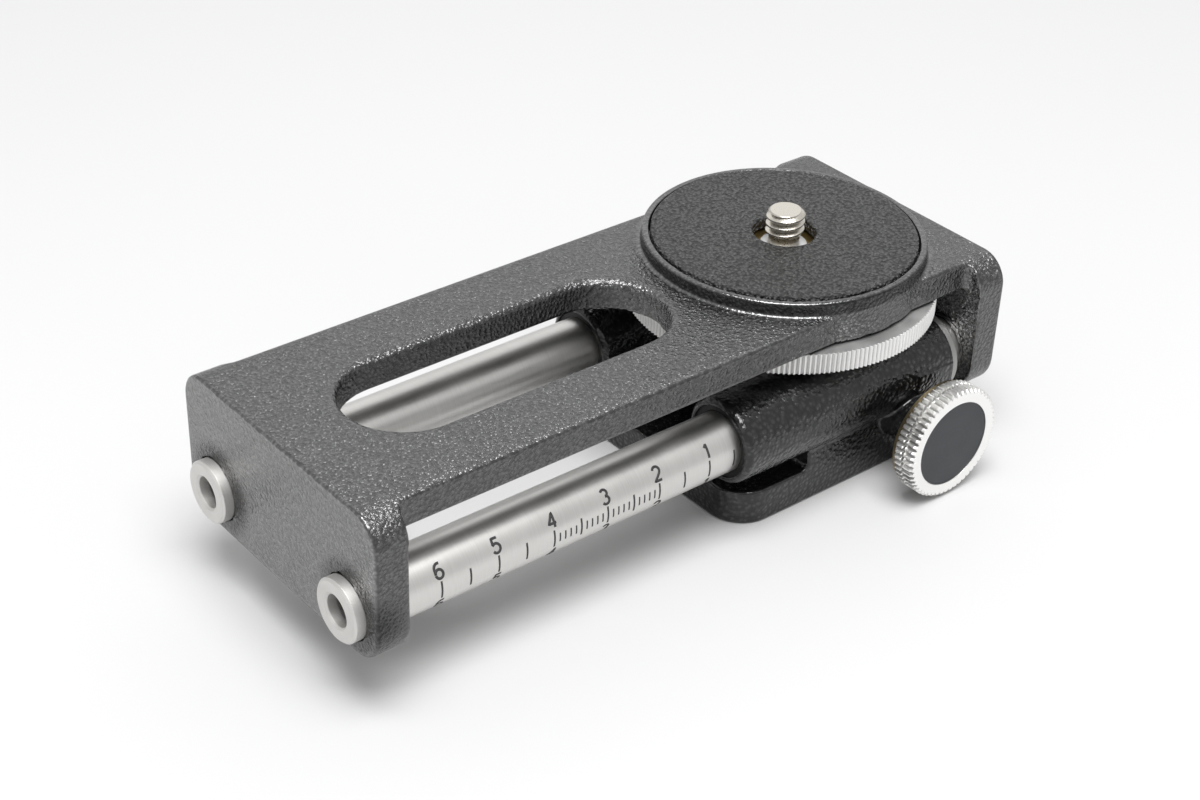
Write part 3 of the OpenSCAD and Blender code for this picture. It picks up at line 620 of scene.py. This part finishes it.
def turned_metal(name, dark, light, dull, axis, metallic=1.0, edge=0.12, painted_valley_shade=1):
    """Metal from the lathe: fine grooves round the axis, given as (a point on it, 0 to 2 for x
    to z). They are seen as rings on a face and as bands along the side, made by a noise that
    only changes with the distance from the axis and along it. Its edges are broken by a radius
    of edge millimetres, and where little open air reaches, as in the deepest of a knurl's
    valleys, the tone is darkened to the given share as painted shade."""
    material, shader, place = shader_of(name)
    centre, along = axis
    shift = tuple(-c * MM for c in centre)
    shifted = node(material, "Mapping", Vector=place, Location=shift).outputs[0]
    part = node(material, "SeparateXYZ", i0=shifted).outputs
    squares = [maths(material, "POWER", part[k], 2.0) for k in range(3) if k != along]
    radius = maths(material, "SQRT", maths(material, "ADD", *squares))
    joined = node(material, "CombineXYZ", i0=radius, i1=part[along])
    groove = noise(material, joined.outputs[0], 7000, 2.5, 0.6)
    soft = node(material, "Bevel", {"samples": 4}, Radius=edge * MM)
    relief = {"Strength": 0.16, "Distance": 0.00002}
    bump = node(material, "Bump", Height=groove, Normal=soft.outputs[0], **relief)
    sheen = span(material, noise(material, place, 260, 3), 0.3, 0.7, dull - 0.04, dull + 0.05)
    tone = ramp(material, groove, dark, light)
    # painted shade: the tone darkens where ambient occlusion finds little open air
    if painted_valley_shade < 1:
        open_air = node(material, "AmbientOcclusion", {"samples": 6}, Distance=0.0006)
        share = span(material, open_air.outputs["AO"], 0.3, 0.9, painted_valley_shade, 1.0)
        scaled = node(material, "VectorMath", {"operation": "SCALE"}, i0=tone, Scale=share)
        tone = scaled.outputs["Vector"]
    plug(material, shader, Base_Color=tone, Roughness=sheen, Normal=bump.outputs["Normal"])
    plug(material, shader, Metallic=metallic)
    return material


# each gives the dark tone, the light tone and the roughness
flange_tones = (0.30, 0.30, 0.29), (0.40, 0.40, 0.39), 0.45
# the front bushes get a much darker copy of the bush metal: painted shade in the ring round each
# rod at the sleeves' fronts
shaded_bush_tones = (0.02, 0.02, 0.02), (0.05, 0.05, 0.05), 0.5
for side, y in (("near", -ROD_Y), ("far", ROD_Y)):
    bush_axis = ((0, y, ROD_Z), 0)
    dress(side + "_rear_bush", turned_metal("bush_metal_" + side, *flange_tones, bush_axis))
    dress(side + "_front_bush", turned_metal("shaded_bush_" + side, *shaded_bush_tones, bush_axis))
insert_steel = turned_metal(
    "insert_steel", (0.32, 0.32, 0.31), (0.5, 0.5, 0.48), 0.32, ((0, 0, 0), 2)
)
dress("tripod_insert", insert_steel)


# ---------- the thumbwheel ----------
# A wide aluminium wheel with straight knurling all round and a hub that runs up through the
# platform. Turning it turns the camera screw.

wheel_axis = ((SCREW_X, 0, 0), 2)
wheel_tones = (0.82, 0.82, 0.81), (0.94, 0.94, 0.93), 0.44
# the valleys of the wheel's knurl are darkened as painted shade
wheel_metal = turned_metal("wheel_aluminium", *wheel_tones, wheel_axis, edge=0.04, painted_valley_shade=0.4)
dress("camera_wheel", wheel_metal)


# ---------- the ring and washer on the hub ----------
# A brass ring pressed on the hub keeps it in the frame, and a thin fibre washer lies between
# the wheel and the plate.

ring_brass = turned_metal(
    "ring_brass", (0.26, 0.18, 0.06), (0.42, 0.30, 0.12), 0.32, wheel_axis
)
dress("keeper_ring", ring_brass)


def fibre():
    """Pressed black fibre, dull, with a short felt-like grain."""
    material, shader, place = shader_of("black_fibre")
    grain = noise(material, place, 4500, 3)
    tone = ramp(material, grain, (0.01, 0.01, 0.01), (0.04, 0.038, 0.036))
    bump = node(material, "Bump", Strength=0.3, Distance=0.00005, Height=grain)
    plug(material, shader, Base_Color=tone, Roughness=0.85, Normal=bump.outputs["Normal"])
    return material


dress("wheel_washer", fibre())


# ---------- the camera screw ----------
# A quarter-inch screw with 20 turns to the inch, nickel plated: a plain neck in the hub, and
# about three turns of thread above the platform, with a bevelled end.

THREAD_R, CORE_R, NECK_R, PITCH = 3.175, 2.42, 2.55, 1.27
ROOT_FILL = 0.12  # how high the thread's roots are filled
SCREW_LOW, SCREW_TOP, SCREW_BEVEL = 26.15, 41.1, 0.6
SCREW_STEPS, SCREW_RISE = 120, 0.03  # points round the screw, and the height between them


def nickel():
    """Nickel plate: bright, faintly warm, with fine marks left by the die."""
    material, shader, place = shader_of("nickel_plate")
    mark = noise(material, place, 3500, 3)
    bump = node(material, "Bump", Strength=0.1, Distance=0.00003, Height=mark)
    dull = span(material, mark, 0.3, 0.7, 0.24, 0.36)
    plug(material, shader, Base_Color=(0.64, 0.61, 0.55, 1), Metallic=1.0)
    plug(material, shader, Roughness=dull, Normal=bump.outputs["Normal"])
    return material


def round_faces(turns, points, closed=True):
    """Four-sided faces of a grid of turns steps round an axis by points along a profile. The
    last step joins the first, and in a closed profile the last point joins the first too."""
    i, k = np.meshgrid(np.arange(turns), np.arange(points - (not closed)), indexing="ij")
    here, after, up = i * points, (i + 1) % turns * points, (k + 1) % points
    return np.stack([here + k, here + up, after + up, after + k], -1).reshape(-1, 4)


def camera_screw():
    """The screw's side as a grid of turn and height. Over the neck the radius follows the
    thread: a 60 degree wave that climbs one pitch in a turn, its crests and roots cut flat,
    held inside the cone where the thread starts and the cone of the bevelled end, and outside
    the core. A fan of triangles closes each end, and the side's faces are cut in two to match."""
    turn = np.linspace(0, 2 * math.pi, SCREW_STEPS, endpoint=False)[:, None]
    neck = [SCREW_LOW, 30, 34, LIP - 0.35]
    rise = np.arange(LIP - 0.3, SCREW_TOP - 0.002, SCREW_RISE)
    z = np.concatenate([neck, rise, [SCREW_TOP]])
    phase = (z / PITCH - turn / (2 * math.pi)) % 1.0
    wave = abs(phase - 0.5) * PITCH / math.tan(math.radians(30))
    thread = np.clip(CORE_R + wave - ROOT_FILL, CORE_R, THREAD_R)
    start = np.maximum(NECK_R + (z - LIP + 0.1) * 2.2, CORE_R)
    end = THREAD_R + 0.02 - np.maximum(z - SCREW_TOP + SCREW_BEVEL, 0)
    above = np.minimum(np.minimum(thread, start), end)
    r = np.where(z < LIP - 0.1, NECK_R, above)
    side = np.stack([SCREW_X + r * np.cos(turn), r * np.sin(turn), z + 0 * r], -1)
    n, m = r.shape
    middles = [[SCREW_X, 0, SCREW_LOW], [SCREW_X, 0, SCREW_TOP]]
    body = round_faces(n, m, closed=False)
    first = np.arange(n) * m
    second = np.roll(first, -1)
    low = np.stack([second, first, np.full(n, n * m)], -1)
    top = np.stack([first + m - 1, second + m - 1, np.full(n, n * m + 1)], -1)
    faces = np.concatenate([body[:, [0, 3, 2]], body[:, [0, 2, 1]], low, top])
    points = np.concatenate([side.reshape(-1, 3), middles])
    return grid_mesh("camera_thread", points, faces, sharp=28)


screw = camera_screw()
screw.data.materials.append(nickel())
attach(screw, "camera_wheel")
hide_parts("camera_screw")


# ---------- the leather on the platform ----------
# A disc of black leather, punched with a hole for the screw and glued into the platform's
# recess, where it stands just proud of the lip.

HOLE_R, LEATHER_R, LEATHER_TOP, LEATHER_EDGE = 5.2, 21.9, 37.3, 0.4
LEATHER_STEPS = 240  # points round the disc


def leather():
    """Fine black leather: small round pebbles over half a millimetre apart, with a grain of pores
    on them and creases between them, which are painted darker and reflect less as painted shade."""
    material, shader, place = shader_of("black_leather")
    pebble = domes(material, place, 1750, 0.45)
    pore = noise(material, place, 4600, 2)
    height = maths(material, "MULTIPLY_ADD", pore, -0.5, pebble)
    relief = {"Strength": 1.0, "Distance": 0.0009}
    bump = node(material, "Bump", {"invert": True}, Height=height, **relief)
    # painted shade: the creases reflect less, and below they are darker in tone
    shine = span(material, height, -0.05, 0.38, 1.35, 0.4)
    tone = ramp(material, pebble, (0.036, 0.036, 0.036), (0.009, 0.009, 0.009))
    plug(material, shader, Base_Color=tone, Roughness=0.36, Normal=bump.outputs["Normal"])
    plug(material, shader, Specular_IOR_Level=shine)
    return material


def leather_disc():
    """A ring as a grid of turn and profile: the profile runs from the hole's lower edge up its
    side, over a rounded edge, out across the top, and down round the rim. The hole wanders in
    and out by a sum of three sine waves, as punched leather does, and the rim by 0.3 of it."""
    turn = np.linspace(0, 2 * math.pi, LEATHER_STEPS, endpoint=False)[:, None]
    q = np.radians(np.linspace(0, 90, 6))
    rise, fall = LEATHER_EDGE * (1 - np.sin(q)), LEATHER_EDGE * (1 - np.cos(q))
    flat = np.linspace(HOLE_R + 1, LEATHER_R - 1, 24)
    u = np.concatenate([[HOLE_R], HOLE_R + fall, flat, LEATHER_R - rise, [LEATHER_R]])
    level = [LEATHER_TOP - rise, LEATHER_TOP + 0 * flat, LEATHER_TOP - fall]
    h = np.concatenate([[RECESS_Z], *level, [RECESS_Z]])
    wander = 0.06 * np.sin(3 * turn + 1) + 0.05 * np.sin(7 * turn) + 0.03 * np.sin(17 * turn + 2)
    at_hole = 1 - np.clip((u - HOLE_R) / 2, 0, 1)
    at_rim = 0.3 * np.clip((u - LEATHER_R + 2) / 2, 0, 1)
    radius = u + wander * at_hole + wander * at_rim - 0.02
    side = np.stack([SCREW_X + radius * np.cos(turn), radius * np.sin(turn), h + 0 * radius], -1)
    faces = round_faces(*radius.shape)
    return grid_mesh("platform_leather", side.reshape(-1, 3), faces, sharp=50)


disc = leather_disc()
disc.data.materials.append(leather())
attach(disc, "frame")
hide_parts("platform_pad")


# ---------- the pinion and its bush ----------
# The pinion and its shaft are one turned steel piece. It meshes with the rack under the near
# rod, and runs in a brass bush in the carriage's side.

drive_axis = ((KNOB_X, 0, KNOB_Z), 1)
shaft_steel = turned_metal(
    "shaft_steel", (0.45, 0.45, 0.43), (0.62, 0.62, 0.6), 0.3, drive_axis
)
shaft_brass = turned_metal(
    "shaft_brass", (0.17, 0.14, 0.085), (0.28, 0.23, 0.14), 0.36, drive_axis
)
dress("pinion_shaft", shaft_steel)
dress("shaft_bush", shaft_brass)


# ---------- the focusing knob ----------
# A turned aluminium knob on the shaft's end: two knurled bands with a groove between them, a
# plain bevelled rim, and a grey disc let into its face over the screw that holds it. A brass
# washer behind it drags on the boss.

TEETH, STEPS = 55, 10  # teeth of the knurl, and points round each
CREST, ROOT, GROOVE = 9.8, 9.02, 8.98  # radii of the teeth and of the groove between the bands
BACK, FACE, BORE = 29.9, 33.9, 2.0  # distances of the knob's faces from the middle, and its bore
RECESS, SEAT, HEAD, SHOULDER = 7.5, 33.25, 2.2, 31.9  # the disc's recess, and the screw's below


def knob_turning():
    """The knob as a grid of turn and profile. The profile is a closed loop: out over the back,
    along the two bands with the groove between them, over the bevel, across the face, down
    into the disc's recess and back through the bore. Each point of the bands is held under
    the knurl, a wave of 55 teeth with pointed valleys, and lands over a fifth of each tooth,
    that runs straight through the bevel."""
    loop = [(r, BACK) for r in (BORE, 5, 8.6, CREST - 0.3)]
    loop += [(CREST, y) for y in (BACK + 0.3, 30.6, 31.0, 31.33)]
    loop += [(CREST - 0.12, 31.4), (GROOVE, 31.5), (GROOVE, 31.74), (CREST - 0.12, 31.84)]
    loop += [(CREST, y) for y in (31.91, 32.4, 32.9, 33.3, 33.5)]
    loop += [(r, FACE) for r in (CREST - 0.4, 9.2, 8.95, 8.2, RECESS + 0.06)]
    loop += [(RECESS, FACE - 0.06), (RECESS, SEAT), (5, SEAT)]
    loop += [(HEAD, SEAT), (HEAD, SHOULDER), (BORE, SHOULDER), (BORE, 31)]
    u, h = np.array(loop).T
    turn = np.linspace(0, 2 * math.pi, TEETH * STEPS, endpoint=False)[:, None]
    phase = (turn * TEETH / (2 * math.pi)) % 1.0
    knurl = ROOT + (CREST - ROOT) * np.clip(2.45 * abs(phase - 0.5), 0, 1)
    radius = np.where(u > GROOVE - 0.02, np.minimum(u, knurl), u)
    across, up = KNOB_X + radius * np.cos(turn), KNOB_Z + radius * np.sin(turn)
    side = np.stack([across, -h + 0 * radius, up], -1)
    faces = round_faces(*radius.shape)[:, ::-1]
    return grid_mesh("knob_turning", side.reshape(-1, 3), faces, sharp=24)


knob_tones = (0.88, 0.875, 0.86), (0.97, 0.965, 0.95), 0.35
disc_tones = (0.014, 0.017, 0.021), (0.026, 0.030, 0.036), 0.4
# the valleys of the knob's knurl are darkened as painted shade
knob_metal = turned_metal("knob_aluminium", *knob_tones, drive_axis, edge=0.04, painted_valley_shade=0.6)
knob = knob_turning()
knob.data.materials.append(knob_metal)
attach(knob, "knob")
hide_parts("focus_knob")
dress("knob_washer", shaft_brass)
dress("knob_screw", oxide)
dress("emblem_disc", turned_metal("disc_grey", *disc_tones, drive_axis, metallic=0.1))


# ---------- the lock screw ----------
# A knurled screw on the far side, whose brass tip presses on the far rod and holds the frame
# where it is set.

lock_axis = ((LOCK_X, 0, ROD_Z), 1)
lock_tones = (0.66, 0.66, 0.64), (0.84, 0.84, 0.82), 0.28
tip_tones = (0.44, 0.31, 0.11), (0.64, 0.47, 0.2), 0.3
# the valleys of the lock screw's knurl are darkened as painted shade
lock_metal = turned_metal("lock_aluminium", *lock_tones, lock_axis, edge=0.05, painted_valley_shade=0.5)
dress("lock_screw", lock_metal)
dress("lock_tip", turned_metal("lock_brass", *tip_tones, lock_axis))


# ---------- the studio ----------
# The object stands on a sheet of white paper under a broad soft light. The camera looks down on
# its front corner.

PAPER = 3000  # half the paper's width


def white_paper():
    """Matt white paper, very slightly uneven."""
    material, shader, place = shader_of("white_paper")
    cloud = noise(material, place, 6, 3)
    tone = ramp(material, cloud, (0.565, 0.565, 0.568), (0.585, 0.585, 0.585))
    plug(material, shader, Base_Color=tone, Roughness=0.9, Specular_IOR_Level=0.1)
    return material


corners = [[x * PAPER, y * PAPER, 0.0] for x, y in ((-1, -1), (1, -1), (1, 1), (-1, 1))]
floor = grid_mesh("studio_floor", corners, [[0, 1, 2, 3]])
floor.data.materials.append(white_paper())

scene = bpy.context.scene
scene.view_settings.view_transform = "Standard"
scene.view_settings.look = "None"

world = bpy.data.worlds.new("studio_air")
world.use_nodes = True
air = world.node_tree.nodes["Background"].inputs
air["Color"].default_value = (1.0, 1.0, 1.0, 1)
air["Strength"].default_value = 0.66
scene.world = world


def softbox(name, place, aim, width, height, power):
    """A rectangular lamp at place that shines towards aim, in metres and watts."""
    lamp = bpy.data.lights.new(name, "AREA")
    lamp.shape = "RECTANGLE"
    lamp.size, lamp.size_y = width, height
    lamp.energy = power
    holder = bpy.data.objects.new(name, lamp)
    turn = (Vector(aim) - Vector(place)).to_track_quat("-Z", "Y").to_matrix().to_4x4()
    holder.matrix_world = Matrix.Translation(place) @ turn
    scene.collection.objects.link(holder)


softbox("overhead", (-0.16, -0.23, 0.86), (-0.03, 0, 0), 0.6, 0.5, 10.0)
softbox("behind", (0.62, 0.75, 0.62), (-0.03, 0, 0.02), 1.5, 0.9, 2.0)

# the camera's place, bearing, dip and tilt were solved from the photograph's edges
camera_data = bpy.data.cameras.new("camera")
camera_data.lens = 64.185
camera_data.sensor_width = 36
camera_data.clip_start = 0.01
camera = bpy.data.objects.new("camera", camera_data)
camera.matrix_world = (
    Matrix.Translation((-0.21587, -0.21728, 0.20333))
    @ Matrix.Rotation(math.radians(-40.031), 4, "Z")
    @ Matrix.Rotation(math.radians(90 - 33.029), 4, "X")
    @ Matrix.Rotation(math.radians(2.099), 4, "Z")
)
scene.collection.objects.link(camera)
scene.camera = camera
